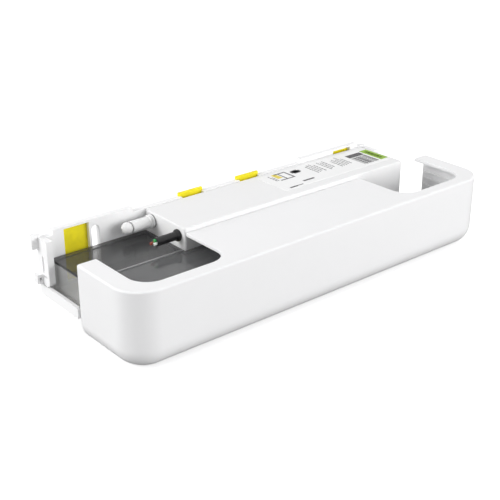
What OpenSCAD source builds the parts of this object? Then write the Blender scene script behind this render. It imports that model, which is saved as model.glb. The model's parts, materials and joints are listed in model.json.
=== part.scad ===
// Condensate pump for a wall-hung air conditioner: wall plate, pump block, water tank and slip-on cover.
// X runs along the length, the wall is the plane Y = 0 with the room on the -Y side, and Z is up.
// The origin lies on the wall, on the line of the screw holes and halfway along the cover.
// Inside the modules a place is given as (x, d, h): d is the distance out from the wall, and h is the
// height above the underside of the cover.

/* [Front cover] */
// Length of the cover
cover_l = 324; // [310:1:400]
// Distance from the wall to the cover's front face
cover_d = 108; // [102:1:130]
// Distance from the wall to the rear edge of the cover's end walls
cover_back = 48; // [40:1:50]
// Height of the cover
cover_h = 55.4; // [54:0.2:70]
// Wall of the cover
cover_wall = 2.5; // [1.8:0.1:3]
// Radius of the front corners, seen from above
cover_corner_r = 21; // [18:1:26]
// Radius of the bottom edge
cover_edge_r = 15; // [10:1:17]
// Width of the top rim along each end wall
rim_w = 14; // [8:1:18]
// Width of the top rim along the front
front_rim_w = 9.5; // [7:0.5:16]
// Distance from the middle of the cover to each pipe window
window_from_middle = 81.5; // [72:0.5:90]
// Radius of a window's outer front corner
window_outer_r = 15; // [6:1:18]
// Radius of a window's inner front corner
window_inner_r = 14; // [4:1:16]

/* [Wall plate] */
// How far the plate's left end stands out beyond the cover
plate_beyond = 1.5; // [0:0.1:2]
// How far the plate's right end stops short of the cover's end
plate_short = 26; // [20:1:28]
// Thickness of the plate, ribs included
plate_t = 5; // [4.4:0.1:6]
// Front skin of the plate
plate_skin = 2.6; // [1.6:0.1:3]
// Top edge of the plate between the raised ears
plate_top = 58.6; // [56:0.2:64]
// How far the ears stand above the top edge
ear_rise = 3.2; // [0.5:0.1:4]
// How far the shelf reaches out from the wall
shelf_d = 50; // [40:1:52]
// Thickness of the shelf
shelf_t = 2; // [2:0.1:4]
// How far the left cheek reaches out from the wall
left_cheek_d = 13.5; // [10:0.5:20]
// How far the right cheek reaches out from the wall
right_cheek_d = 20; // [10:0.5:30]
// Thickness of the cheeks
cheek_t = 4.5; // [3:0.1:4.6]
// Width of the long fixing slots
slot_w = 6.4; // [4:0.1:7]
// Length of the long fixing slots
slot_l = 30; // [16:1:32]
// Distance between the two round screw holes
hole_spacing = 140; // [130:1:150]
// Radius of the round screw holes
hole_r = 2.3; // [1.8:0.1:2.6]
// Height of the screw holes above the underside of the cover
hole_height = 36; // [32:0.5:40]

/* [Adhesive pads] */
// Width of a pad
pad_w = 21; // [20:0.5:22.5]
// Thickness of a pad
pad_t = 2.2; // [0.8:0.1:2.3]
// Width of the opening that shows a pad
pad_window_w = 19; // [10:0.5:19.5]
// From the middle of the plate to each inner pad
inner_pad_x = 26.4; // [20:0.2:40]
// From the middle of the plate to each outer pad
outer_pad_x = 122.6; // [122:0.2:130]

/* [Pump block] */
// How far the block's left end stands out into the left pipe window
block_beyond = 0.5; // [0:0.1:2]
// How far the block's right end stops short of the cover's end
block_short = 32.5; // [31:0.5:40]
// Gap between the plate and the block
block_gap = 0.4; // [0.3:0.1:1]
// Distance from the wall to the front of the block
block_front = 51.5; // [51:0.5:56]
// Top of the block
block_top = 58.4; // [57:0.2:66]
// Wall of the block's two shells
block_wall = 2; // [1.6:0.1:2.6]
// Height at which the block's two shells part
block_split = 31; // [29:0.5:34]

/* [Water tank] */
// Wall of the tank
tank_wall = 2; // [1.4:0.1:2.6]
// Clearance between the tank and the cover
tank_gap = 2.4; // [1.5:0.1:3]
// From the middle of the cover to the tank's right end
tank_right = 72; // [70:1:76]
// Upper face of the lid
lid_top = 43.4; // [42:0.2:45]
// Thickness of the lid
lid_t = 1.8; // [1.2:0.1:2.6]
// Thickness of the gasket under the lid
gasket_t = 0.8; // [0.5:0.1:1.2]
// Radius of the inlet spout, for a drain hose
inlet_r = 8; // [6:0.5:9]
// Length of the inlet spout
inlet_l = 13; // [8:1:16]

/* [Hose and mains lead] */
// Radius of the outlet sleeve
sleeve_r = 4.2; // [3.8:0.1:5]
// Radius of the socket in the outlet sleeve, for the discharge hose
socket_r = 3.1; // [2.8:0.1:3.4]
// Length of the outlet sleeve beyond its collar
sleeve_l = 13.5; // [10:0.5:18]
// Radius of the mains lead
lead_r = 3; // [2.8:0.1:3.4]
// Length of the lead outside the block
lead_stub = 18.5; // [10:0.5:40]

/* [Pump] */
// Radius of the piston
piston_r = 4; // [3:0.1:4.5]
// Travel of the piston each way
piston_travel = 1.5; // [0.5:0.1:2]
// Radius of the coil
coil_r = 15.5; // [12:0.5:16]
// Length of the coil
coil_l = 40; // [30:1:44]
// Length of the pump tube
pump_l = 84; // [80:1:88]

/* [Float] */
// Radius of the float
float_r = 10.5; // [8:0.5:11]
// Height of the float
float_h = 12; // [8:0.5:13]
// Travel of the float
float_travel = 15; // [8:0.5:16]

/* [Hidden] */
$fn = 48;
sliver = 0.01;
clear = 0.3;           // clearance between pieces that slide past each other
fit = 0.05;            // clearance of pieces that seat in each other

// Cover
tab_w = 12;
tab_t = 2;
grip_w = 1.8;
grip_out = 1.2;
grip_pitch = 5.5;
grips = 4;

// Wall plate
plate_left = cover_l / 2 + plate_beyond;
plate_right = cover_l / 2 - plate_short;
plate_mid = (plate_right - plate_left) / 2;
plate_bottom = shelf_top() - shelf_t;
ear_top = plate_top + ear_rise;
ear_outer = 142;
ear_inner = 78;
ear_notch = 2;
plate_rib = 1.6;
slot_wall = 0.7;
slot_from_mid = outer_pad_x - pad_w / 2 - slot_w / 2 - slot_wall;
slot_top = 57;
boss_r = 5;
tongue_out = 4.5;
tongue_h = 11;
rail_t = 2.2;
rail_top = shelf_top() + 5.8;
pad_top = ear_top - 0.8;
pad_edge = 0.6;
pad_bottom = shelf_top() + 1.5;
pad_xs = [for (u = [-outer_pad_x, -inner_pad_x, inner_pad_x, outer_pad_x]) plate_mid + u];
slot_xs = [plate_mid - slot_from_mid, plate_mid + slot_from_mid];

// Pump block
block_left = window_from_middle + block_beyond;
block_right = cover_l / 2 - block_short;
block_back = plate_t + block_gap;
block_floor = shelf_top() + 0.4;
post_r = 3.4;
peg_r = 3;
peg_l = 3;
post_xs = [-block_left + 38.5, block_right - block_wall - post_r - 0.2];
post_ds = [block_back + block_wall + post_r + 0.2, block_front - block_wall - post_r - 0.2];
peg_xs = [-60, 100];
peg_d = 26;

// Lead and outlet, on the left end of the block
lead_d = block_front - 7.4;
lead_h = 51.6;
outlet_d = 14;
outlet_h = 52.2;
flange_t = 3;
neck_r = lead_r + 0.7;
flange_r = lead_r + 1.2;
sheath_wall = 0.65;
core_r = 0.35 * lead_r;
collar_t = 3.4;
collar_r = sleeve_r + 0.7;
seal_t = 0.8;
nozzle_r = 1.6;
bore_r = 0.8;
bead_r = 4.2;
bead_out = 3.2;
clamp_x = -block_left + 9;
terminal_x = -block_left + 18;

// Control board, in the left half of the block
board_x = -72;
board_l = 70;
board_d = 15;
board_w = 27;
board_t = 1.6;
board_h = block_floor + block_wall + 4;
board_post_xs = [board_x + 6, board_x + board_l - 6];
board_post_ds = [board_d + 4, board_d + 24.5];
relay_size = [19, 12, 14.4];
capacitor_size = [16, 8, 12.4];
sensor_w = 16;
sensor_d = block_front - block_wall - 1;

// Pump, lying along the block
pump_d = 28;
pump_h = 39;
pump_x = 0;
pump_end = pump_x + pump_l;
tube_wall = 2;
pump_tube_r = piston_r + tube_wall;
piston_l = 34;
coil_x = pump_x + (pump_l - coil_l) / 2;
spring_wire = 0.5;
damper_t = 5;
hose_r = 2.4;
hose_gap = 0.3;

// Tank
tank_top = lid_top - lid_t - gasket_t;
tank_inset = cover_wall + tank_gap;
tank_left = cover_l / 2 - tank_inset;
tank_back = plate_t + 1.6;
bay_right = -block_left - clear * 4;
bay_front = block_front + 1.4;
bay_floor = shelf_top() + 0.4;
sump_floor = tank_inset + 1.5;
spigot_x = 60;
spigot_h = 27;
spigot_r = 3.6;
spigot_l = 8;
spigot_in = block_front - block_wall - 5 - hose_gap;
float_x = 8;
float_d = 78;
stem_r = 2;
inlet_d = 80;
spout_wall = 1.8;
inlet_h = 29;

// Height of the shelf's upper face
function shelf_top() = 19.6;

// Moves its children to a place given as x, distance from the wall and height
module at(x, d, h)
    translate([x, -d, h - hole_height]) children();

// Box between two x values, two distances from the wall and two heights
module bar(x0, x1, d0, d1, h0, h1)
    at(x0, d1, h0) cube([x1 - x0, d1 - d0, h1 - h0]);

// Box like bar, with its four upright edges rounded
module rounded_bar(x0, x1, d0, d1, h0, h1, r) {
    bar(x0 + r, x1 - r, d0, d1, h0, h1);
    bar(x0, x1, d0 + r, d1 - r, h0, h1);
    for (x = [x0 + r, x1 - r], d = [d0 + r, d1 - r])
        at(x, d, h0) cylinder(r = r, h = h1 - h0);
}

// Upright rod
module rod_z(x, d, h0, h1, r)
    at(x, d, h0) cylinder(r = r, h = h1 - h0);

// Rod along the length
module rod_x(x0, x1, d, h, r)
    at(x0, d, h) rotate([0, 90, 0]) cylinder(r = r, h = x1 - x0);

// Rod that points out from the wall
module rod_d(x, d0, d1, h, r)
    at(x, d0, h) rotate([90, 0, 0]) cylinder(r = r, h = d1 - d0);

// ---- Hoses and leads that bend ----

// Point between b and c on the smooth curve through a, b, c and e
function curve_point(a, b, c, e, t) =
    0.5 * (2 * b + (c - a) * t + (2 * a - 5 * b + 4 * c - e) * t * t + (3 * b - a - 3 * c + e) * t * t * t);

// Points of a smooth curve through a route, with some steps to each stretch
function curve(route, steps) = [
    for (i = [0 : len(route) - 2], s = [0 : steps - 1])
        curve_point(route[max(i - 1, 0)], route[i], route[i + 1], route[min(i + 2, len(route) - 1)], s / steps),
    route[len(route) - 1]
];

function unit(v) = v / norm(v);

// Closed tube of radius r along a route of [x, d, h] points
module swept(route, r, sides = 10, steps = 4) {
    path = [for (p = curve(route, steps)) [p[0], -p[1], p[2] - hole_height]];
    last = len(path) - 1;
    rings = [for (i = [0 : last])
        let (along = unit(path[min(i + 1, last)] - path[max(i - 1, 0)]))
        let (side = unit(cross(along, [0.21, 0.34, 0.92])))
        let (over = cross(along, side))
        for (k = [0 : sides - 1])
            path[i] + r * (cos(360 * k / sides) * side + sin(360 * k / sides) * over)
    ];
    faces = concat(
        [[for (k = [0 : sides - 1]) k]],
        [for (i = [0 : last - 1], k = [0 : sides - 1])
            let (next = (k + 1) % sides)
            [i * sides + k, (i + 1) * sides + k, (i + 1) * sides + next, i * sides + next]],
        [[for (k = [sides - 1 : -1 : 0]) last * sides + k]]
    );
    polyhedron(rings, faces, convexity = 6);
}

// ---- Front cover ----

// The cover's outer shape, drawn in by inset all round, from a distance back to its front face
module cover_form(inset, back, top)
    hull()
        for (side = [-1, 1]) {
            at(side * (cover_l / 2 - cover_corner_r), cover_d - cover_corner_r, 0) {
                rotate_extrude($fn = 32)
                    intersection() {
                        translate([cover_corner_r - cover_edge_r, cover_edge_r])
                            circle(r = cover_edge_r - inset, $fn = 32);
                        square(2 * cover_corner_r);
                    }
                translate([0, 0, cover_edge_r])
                    cylinder(r = cover_corner_r - inset, h = top - cover_edge_r, $fn = 32);
            }
            at(side * (cover_l / 2 - cover_edge_r), back, cover_edge_r)
                rotate([90, 0, 0]) cylinder(r = cover_edge_r - inset, h = sliver, $fn = 32);
            at(side * (cover_l / 2 - inset - 1) - 1, back + sliver, cover_edge_r)
                cube([2, sliver, top - cover_edge_r]);
        }

// Opening in the top for the pipes, open to the rear
module pipe_window(side) {
    outer_x = cover_l / 2 - rim_w;
    front = cover_d - front_rim_w;
    at(0, 0, cover_h - 2 * cover_wall)
        linear_extrude(3 * cover_wall)
            hull() {
                translate([side * (outer_x - window_outer_r), window_outer_r - front])
                    circle(r = window_outer_r, $fn = 48);
                translate([side * (window_from_middle + window_inner_r), window_inner_r - front])
                    circle(r = window_inner_r, $fn = 32);
                translate([side > 0 ? window_from_middle : -outer_x, -cover_back])
                    square([outer_x - window_from_middle, 1]);
            }
}

module front_cover()
    color("white") {
        difference() {
            cover_form(0, cover_back, cover_h);
            cover_form(cover_wall, cover_back - 1, cover_h - cover_wall);
            for (side = [-1, 1])
                pipe_window(side);
            bar(-window_from_middle, window_from_middle, cover_back - 1, block_front + clear,
                cover_h - 2 * cover_wall, cover_h + 1);
        }
        for (side = [-1, 1]) {
            cover_grips(side);
            locating_tab(side);
        }
    }

// Grip ribs inside an end wall
module cover_grips(side) {
    face = cover_l / 2 - cover_wall;
    for (i = [0 : grips - 1])
        bar(min(side * face, side * (face - grip_out)), max(side * face, side * (face - grip_out)),
            cover_back + 2, cover_d - cover_corner_r - 6,
            cover_edge_r + 10 + i * grip_pitch, cover_edge_r + 10 + i * grip_pitch + grip_w);
}

// Tab under the top that stands against the front of the block
module locating_tab(side)
    bar(side * window_from_middle / 2 - tab_w / 2, side * window_from_middle / 2 + tab_w / 2,
        block_front + clear, block_front + clear + tab_t, lid_top + 2, cover_h - cover_wall);

// ---- Wall plate ----

module wall_plate()
    color("white") {
        difference() {
            union() {
                plate_body();
                for (x = slot_xs)
                    slot_boss(x);
                for (side = [-1, 1])
                    rod_d(side * hole_spacing / 2, 0, plate_t, hole_height, boss_r);
            }
            for (x = slot_xs)
                fixing_slot(x, slot_w / 2, -1, plate_t + 1);
            for (side = [-1, 1])
                rod_d(side * hole_spacing / 2, -1, plate_t + 1, hole_height, hole_r);
            for (x = pad_xs)
                pad_seat(x);
        }
        left_cheek();
        right_cheek();
        cover_hook();
        shelf();
        shelf_rail();
    }

// Skin with ribs behind it
module plate_body()
    difference() {
        union() {
            bar(-plate_left, plate_right, 0, plate_t, plate_bottom, plate_top);
            for (side = [-1, 1])
                plate_ear(side);
            bar(-plate_left - tongue_out, -plate_left + 2, 0, plate_skin, ear_top - tongue_h, ear_top);
        }
        plate_pockets();
    }

// Seat for a pad behind the skin, and the opening that shows it
module pad_seat(x) {
    side_gap = 0.15;
    bar(x - pad_w / 2 - side_gap, x + pad_w / 2 + side_gap, -1, plate_t - plate_skin,
        pad_bottom - clear, pad_top + clear);
    bar(x - pad_window_w / 2, x + pad_window_w / 2, -1, plate_t + 1, pad_bottom + 2 * pad_edge, pad_top - pad_edge);
}

// Raised stretch of the top edge, with a notch at its outer end
module plate_ear(side) {
    from = plate_mid + side * ear_inner;
    to = plate_mid + side * (ear_outer - ear_notch);
    bar(min(from, to), max(from, to), 0, plate_t, plate_top, ear_top);
}

// Pockets behind the skin, above and below the rib on the line of the screw holes
module plate_pockets() {
    cells = 14;
    step = (plate_right + plate_left) / cells;
    for (i = [0 : cells - 1]) {
        x0 = -plate_left + i * step + plate_rib / 2;
        x1 = x0 + step - plate_rib;
        bar(x0, x1, -1, plate_t - plate_skin, plate_bottom + shelf_t + 1, hole_height - plate_rib);
        bar(x0, x1, -1, plate_t - plate_skin, hole_height + plate_rib, plate_top - plate_rib);
    }
}

// Slot with round ends
module fixing_slot(x, r, d0, d1) {
    low = slot_top - slot_l + slot_w / 2;
    high = slot_top - slot_w / 2;
    bar(x - r, x + r, d0, d1, low, high);
    for (h = [low, high])
        rod_d(x, d0, d1, h, r);
}

module slot_boss(x)
    intersection() {
        fixing_slot(x, slot_w / 2 + 1.2, 0, plate_t);
        bar(x - slot_w, x + slot_w, 0, plate_t, plate_bottom, plate_top);
    }

// Left cheek with a shallow panel on its outer face and a round lower corner
module left_cheek() {
    low = rail_top + 0.6;
    r = 4;
    x0 = -plate_left;
    x1 = -plate_left + cheek_t;
    groove = 0.8;
    difference() {
        union() {
            bar(x0, x1, plate_t, left_cheek_d, low + r, plate_top);
            bar(x0, x1, plate_t, left_cheek_d - r, low, low + r);
            rod_x(x0, x1, left_cheek_d - r, low + r, r);
        }
        bar(x0 - 1, x0 + groove, plate_t + 1, left_cheek_d - 2.5, low + 9, plate_top - 12);
        bar(x0 - 1, x0 + 3 * groove, plate_t + 1, left_cheek_d - 2.5, low + 6, low + 7.2);
    }
}

module right_cheek()
    bar(plate_right - cheek_t, plate_right, plate_t, right_cheek_d, plate_bottom, plate_top - 0.6);

// Hook at the plate's lower left corner, with an eye through it
module cover_hook() {
    h = rail_top + 1.6;
    eye = 2.4;
    difference() {
        bar(-plate_left - tongue_out + 0.6, -plate_left, 0, plate_t, h, h + 6.4);
        bar(-plate_left - tongue_out + 2, -plate_left - 1, -1, plate_t + 1, h + 2, h + 2 + eye);
    }
}

// Rail along the shelf's left end, with a round lower corner at the wall
module shelf_rail() {
    r = (rail_top - plate_bottom) / 2;
    x0 = -plate_left;
    front = cover_back - 2 * clear;
    bar(x0, x0 + rail_t, r, front - 1, plate_bottom, rail_top);
    bar(x0, x0 + rail_t, r, front, plate_bottom + 1, rail_top - 1);
    bar(x0, x0 + rail_t, 0, r, plate_bottom + r, rail_top);
    rod_x(x0, x0 + rail_t, r, plate_bottom + r, r);
}

// Shelf under the block and the tank, with seats for the block's pegs
module shelf() {
    edge = shelf_t / 2;
    x0 = -cover_l / 2 + cover_wall + 0.8;
    difference() {
        union() {
            bar(x0, plate_right, plate_t, shelf_d - edge, plate_bottom, shelf_top());
            rod_x(x0, plate_right, shelf_d - edge, plate_bottom + edge, edge);
            bar(-plate_left, x0 + sliver, plate_t, cover_back - 2 * clear, plate_bottom, shelf_top());
        }
        for (x = peg_xs)
            rod_z(x, peg_d, plate_bottom - 1, shelf_top() + 1, peg_r + clear);
    }
}

module adhesive_pads()
    color("gold")
        for (x = pad_xs)
            bar(x - pad_w / 2, x + pad_w / 2, 0, pad_t, pad_bottom, pad_top);

// ---- Pump block ----

module pump_housing()
    color("white") {
        difference() {
            rounded_bar(-block_left, block_right, block_back, block_front, block_split, block_top, 1.5);
            bar(-block_left + block_wall, block_right - block_wall, block_back + block_wall,
                block_front - block_wall, block_split - 1, block_top - block_wall);
            rod_x(-block_left - 1, -block_left + block_wall + 1, lead_d, lead_h, neck_r);
            rod_x(-block_left - 1, -block_left + block_wall + 1, outlet_d, outlet_h, socket_r);
        }
        for (x = post_xs, d = post_ds)
            screw_post(x, d);
    }

// Post that takes a screw, from the housing's roof down to the split
module screw_post(x, d)
    difference() {
        rod_z(x, d, block_split + 0.2, block_top - block_wall + sliver, post_r);
        rod_z(x, d, block_split - 1, block_split + 10, 1.25);
    }

module housing_base()
    color("white") {
        difference() {
            rounded_bar(-block_left, block_right, block_back, block_front, block_floor, block_split - fit, 1.5);
            bar(-block_left + block_wall, block_right - block_wall, block_back + block_wall,
                block_front - block_wall, block_floor + block_wall, block_split + 1);
            rod_d(spigot_x, block_front - block_wall - 1, block_front + 1, spigot_h, spigot_r);
            for (x = post_xs, d = post_ds)
                rod_z(x, d, block_floor - 1, block_floor + block_wall + 1, 3.1);
        }
        for (x = post_xs, d = post_ds)
            base_post(x, d);
        for (x = peg_xs)
            rod_z(x, peg_d, block_floor - peg_l, block_floor + sliver, peg_r);
        for (x = [damper_left(), damper_right()])
            damper_cradle(x);
        for (x = board_post_xs, d = board_post_ds)
            rod_z(x, d, block_floor + block_wall - sliver, board_h, 2);
    }

// Post under the housing's post, with a deep seat for the screw head
module base_post(x, d)
    difference() {
        rod_z(x, d, block_floor, block_split - fit - 0.2, post_r);
        rod_z(x, d, block_floor - 1, block_split - 3, 2.9);
        rod_z(x, d, block_floor, block_split + 1, 1.6);
    }

// Half-round seat for a damper ring
module damper_cradle(x)
    difference() {
        bar(x - 1, x + damper_t + 1, pump_d - 11, pump_d + 11, block_floor + block_wall - sliver, pump_h - 1);
        rod_x(x, x + damper_t, pump_d, pump_h, damper_r() + fit);
        rod_x(x - 2, x + damper_t + 2, pump_d, pump_h, damper_r() - 1);
    }

module housing_screws()
    color("silver")
        for (x = post_xs, d = post_ds) {
            rod_z(x, d, block_split - 5, block_split - 3 - fit, 2.7);
            rod_z(x, d, block_split - 3 - fit, block_split + 9, 1.2);
        }

// Printed label on top of the block, with generic marks only
module type_label()
    color("whitesmoke")
        bar(16, block_right - 2, block_back + 4, block_front - 9, block_top, block_top + 0.15);

// ---- Outlet ----

module outlet_sleeve()
    color("white") {
        outer = -block_left - seal_t;
        tip = outer - collar_t - sleeve_l;
        difference() {
            union() {
                rod_x(outer - collar_t, outer, outlet_d, outlet_h, collar_r);
                rod_x(tip, outer, outlet_d, outlet_h, sleeve_r);
                rod_x(outer - sliver, -block_left + block_wall + 5, outlet_d, outlet_h, socket_r - fit);
            }
            rod_x(tip - 1, tip + 9, outlet_d, outlet_h, socket_r);
            rod_x(tip, -block_left + 20, outlet_d, outlet_h, nozzle_r);
        }
    }

// Nozzle in the sleeve's socket, with a round bead at its tip
module outlet_nozzle()
    color("white") {
        tip = -block_left - seal_t - collar_t - sleeve_l;
        difference() {
            union() {
                rod_x(tip - bead_out, tip + sleeve_l, outlet_d, outlet_h, nozzle_r - fit);
                at(tip - bead_out, outlet_d, outlet_h) sphere(r = bead_r);
            }
            rod_x(tip - bead_out - bead_r - 1, tip + sleeve_l + 1, outlet_d, outlet_h, bore_r);
        }
    }

module outlet_seal()
    color("dimgray")
        difference() {
            rod_x(-block_left - seal_t, -block_left, outlet_d, outlet_h, collar_r - 0.2);
            rod_x(-block_left - seal_t - 1, -block_left + 1, outlet_d, outlet_h, socket_r);
        }

// ---- Mains lead ----

module cable_grommet()
    color("black")
        difference() {
            union() {
                rod_x(-block_left - flange_t, -block_left, lead_d, lead_h, flange_r);
                rod_x(-block_left - sliver, -block_left + block_wall + sliver, lead_d, lead_h, neck_r - fit);
                rod_x(-block_left + block_wall, -block_left + block_wall + 1.5, lead_d, lead_h, flange_r - 0.2);
            }
            rod_x(-block_left - flange_t - 1, -block_left + block_wall + 3, lead_d, lead_h, lead_r + fit);
        }

module cable_sheath()
    color("black")
        difference() {
            rod_x(-block_left - lead_stub, clamp_x + 7, lead_d, lead_h, lead_r);
            rod_x(-block_left - lead_stub - 1, clamp_x + 8, lead_d, lead_h, lead_r - sheath_wall);
        }

// One core, at an angle round the middle of the lead, from its cut end to the terminal block
module lead_core(angle, beyond) {
    out = core_r / cos(30) + fit;
    rod_x(-block_left - lead_stub - beyond, terminal_x, lead_d + out * cos(angle), lead_h + out * sin(angle), core_r);
}

module cable_core_earth()
    color("limegreen") lead_core(90, 1.4);

module cable_core_neutral()
    color("white") lead_core(330, 2.2);

module cable_core_live()
    color("saddlebrown") lead_core(210, 3.4);

// Clamp that holds the sheath to the housing's roof
module cable_clamp()
    color("white")
        difference() {
            bar(clamp_x, clamp_x + 5, lead_d - 5, lead_d + 5, lead_h - 5, block_top - block_wall);
            rod_x(clamp_x - 1, clamp_x + 6, lead_d, lead_h, lead_r + fit);
        }

module terminal_block()
    color("green")
        difference() {
            bar(terminal_x, terminal_x + 9, lead_d - 7, lead_d + 5, lead_h - 6, block_top - block_wall);
            for (i = [-1, 0, 1])
                rod_z(terminal_x + 6, lead_d - 1 + i * 3.6, lead_h - 7, lead_h - 4.6, 1.2);
        }

// ---- Electronics ----

module control_board()
    color("darkgreen")
        difference() {
            bar(board_x, board_x + board_l, board_d, board_d + board_w, board_h, board_h + board_t);
            for (x = board_post_xs, d = board_post_ds)
                rod_z(x, d, board_h - 1, board_h + board_t + 1, 0.8);
        }

module board_relay()
    color("royalblue")
        bar(board_x + 10, board_x + 10 + relay_size[0], board_d + 10, board_d + 10 + relay_size[1],
            board_h + board_t, board_h + board_t + relay_size[2]);

module board_capacitor()
    color("orange")
        rounded_bar(board_x + 38, board_x + 38 + capacitor_size[0], board_d + 16.5,
            board_d + 16.5 + capacitor_size[1], board_h + board_t, board_h + board_t + capacitor_size[2], 2);

// Board behind the block's front wall that senses the float's magnet
module sensor_board()
    color("darkgreen")
        bar(float_x - sensor_w / 2, float_x + sensor_w / 2, sensor_d - board_t, sensor_d,
            block_floor + block_wall, block_top - block_wall - 12);

// Flat lead from the sensor board to the control board
module sensor_lead()
    color("dimgray") {
        start = board_h + 12;
        end_x = board_x + board_l - 4;
        swept([
            [float_x - 4, sensor_d - board_t - 0.2, start],
            [float_x - 5, sensor_d - board_t - 2.4, start],
            [float_x - 11, board_d + board_w, start - 1],
            [end_x, board_d + board_w - 3, start - 4],
            [end_x, board_d + board_w - 7, start - 7],
            [end_x, board_d + board_w - 8.5, board_h + board_t + 1]
        ], 0.8, 8);
    }

// ---- Pump ----

function damper_r() = pump_tube_r + 3;
function damper_left() = pump_x + 5;
function damper_right() = pump_end - damper_t - 5;

// Tube that the piston runs in, with a hose nozzle at each end
module pump_tube()
    color("ivory")
        difference() {
            union() {
                rod_x(pump_x, pump_end, pump_d, pump_h, pump_tube_r);
                rod_x(pump_x - 8, pump_x, pump_d, pump_h, 1.5);
                rod_x(pump_end, pump_end + 8, pump_d, pump_h, 1.5);
            }
            rod_x(pump_x + 4, pump_end - 4, pump_d, pump_h, piston_r + fit);
            rod_x(pump_x - 9, pump_end + 9, pump_d, pump_h, bore_r);
        }

module pump_coil()
    color("sienna")
        difference() {
            rod_x(coil_x, coil_x + coil_l, pump_d, pump_h, coil_r);
            rod_x(coil_x - 1, coil_x + coil_l + 1, pump_d, pump_h, pump_tube_r + fit);
        }

// Steel bracket round the coil
module coil_yoke()
    color("gray")
        difference() {
            bar(coil_x - 2, coil_x + coil_l + 2, pump_d - 11, pump_d + 11, pump_h - 14, pump_h + coil_r + 1.4);
            bar(coil_x, coil_x + coil_l, pump_d - 12, pump_d + 12, pump_h - 15, pump_h + coil_r + 0.1);
            rod_x(coil_x - 3, coil_x + coil_l + 3, pump_d, pump_h, pump_tube_r + fit);
        }

// Hollow iron piston
module pump_piston()
    color("silver") {
        x0 = pump_x + (pump_l - piston_l) / 2;
        difference() {
            rod_x(x0, x0 + piston_l, pump_d, pump_h, piston_r);
            rod_x(x0 - 1, x0 + piston_l + 1, pump_d, pump_h, 1.5);
        }
    }

// Buffer spring at an end of the tube, as rings on a thin sleeve; the piston meets it at full travel
module piston_spring(x0, x1) {
    turns = 7;
    step = (x1 - x0 - 2 * spring_wire) / turns;
    difference() {
        union() {
            rod_x(x0, x1, pump_d, pump_h, piston_r - 1.2);
            for (i = [0 : turns])
                rod_x(x0 + i * step, x0 + i * step + 2 * spring_wire, pump_d, pump_h, piston_r - 0.7);
        }
        rod_x(x0 - 1, x1 + 1, pump_d, pump_h, piston_r - 1.6);
    }
}

module piston_spring_left()
    color("silver")
        piston_spring(pump_x + 4, pump_x + (pump_l - piston_l) / 2 - piston_travel - fit);

module piston_spring_right()
    color("silver")
        piston_spring(pump_x + (pump_l + piston_l) / 2 + piston_travel + fit, pump_end - 4);

// Rubber rings that carry the pump in the base
module pump_dampers()
    color("dimgray")
        for (x = [damper_left(), damper_right()])
            difference() {
                rod_x(x, x + damper_t, pump_d, pump_h, damper_r());
                rod_x(x - 1, x + damper_t + 1, pump_d, pump_h, pump_tube_r + fit);
            }

// ---- Water path ----

// Spigot through the front of the base that the tank pushes on to
module suction_spigot()
    color("white")
        difference() {
            union() {
                rod_d(spigot_x, block_front - block_wall - 1.5, block_front - block_wall, spigot_h, spigot_r + 1.4);
                rod_d(spigot_x, block_front - block_wall - sliver, block_front + spigot_l, spigot_h, spigot_r - fit);
                rod_d(spigot_x, block_front - block_wall - 5, block_front - block_wall, spigot_h, 1.5);
            }
            rod_d(spigot_x, block_front - block_wall - 6, block_front + spigot_l + 1, spigot_h, bore_r);
            seal_ring(spigot_r - 1.1, spigot_r + 1);
        }

module seal_ring(inner, outer)
    difference() {
        rod_d(spigot_x, bay_front + 0.3, bay_front + 1.7, spigot_h, outer);
        rod_d(spigot_x, bay_front, bay_front + 2, spigot_h, inner);
    }

module spigot_seal()
    color("dimgray") seal_ring(spigot_r - 1.1, spigot_r + 0.2);

// Hose from the spigot to the pump's right end
module suction_tube()
    color("lightgray")
        swept([
            [spigot_x, spigot_in, spigot_h],
            [spigot_x + 1, spigot_in - 1.4, spigot_h],
            [spigot_x + 8, spigot_in - 2.6, spigot_h],
            [pump_end - 4, spigot_in - 1.6, spigot_h],
            [pump_end + 12, spigot_in - 3, spigot_h + 3],
            [pump_end + 22, spigot_in - 9, spigot_h + 8],
            [pump_end + 22, pump_d + 3, pump_h - 1],
            [pump_end + 14, pump_d, pump_h],
            [pump_end + 8 + hose_gap, pump_d, pump_h]
        ], hose_r);

// Hose from the pump's left end to the outlet
module discharge_tube()
    color("lightgray")
        swept([
            [pump_x - 8 - hose_gap, pump_d, pump_h],
            [pump_x - 14, pump_d, pump_h],
            [pump_x - 28, pump_d - 3, pump_h + 6],
            [pump_x - 44, outlet_d + 6, outlet_h - 1],
            [-block_left + 20, outlet_d + 0.6, outlet_h],
            [-block_left + 14, outlet_d, outlet_h],
            [-block_left + block_wall + 5 + hose_gap, outlet_d, outlet_h]
        ], hose_r);

// ---- Water tank ----

// L-shaped outline of the tank between two heights, drawn in by inset from the tank's outer face
module tank_form(inset, floor_bay, floor_sump, top)
    intersection() {
        cover_form(tank_inset + inset, 1, top);
        union() {
            bar(-cover_l, bay_right - inset, tank_back + inset, bay_front + tank_wall, floor_bay, top + 1);
            bar(-cover_l, tank_right - inset, bay_front + inset, cover_d, floor_sump, top + 1);
        }
    }

// Flat slice of the tank's outline between two heights
module tank_slice(inset, low, top)
    intersection() {
        tank_form(inset, low, low, top);
        bar(-cover_l, cover_l, 0, cover_d, low, top);
    }

module tank()
    color([0.5, 0.52, 0.54, 0.6])
        difference() {
            tank_form(0, bay_floor, sump_floor, tank_top);
            tank_form(tank_wall, bay_floor + tank_wall, sump_floor + tank_wall, tank_top + 1);
            rod_x(tank_right - tank_wall - 1, tank_right + 1, inlet_d, inlet_h, inlet_r - 1);
            rod_d(spigot_x, bay_front - 1, bay_front + tank_wall + 1, spigot_h, spigot_r + clear);
        }

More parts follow.
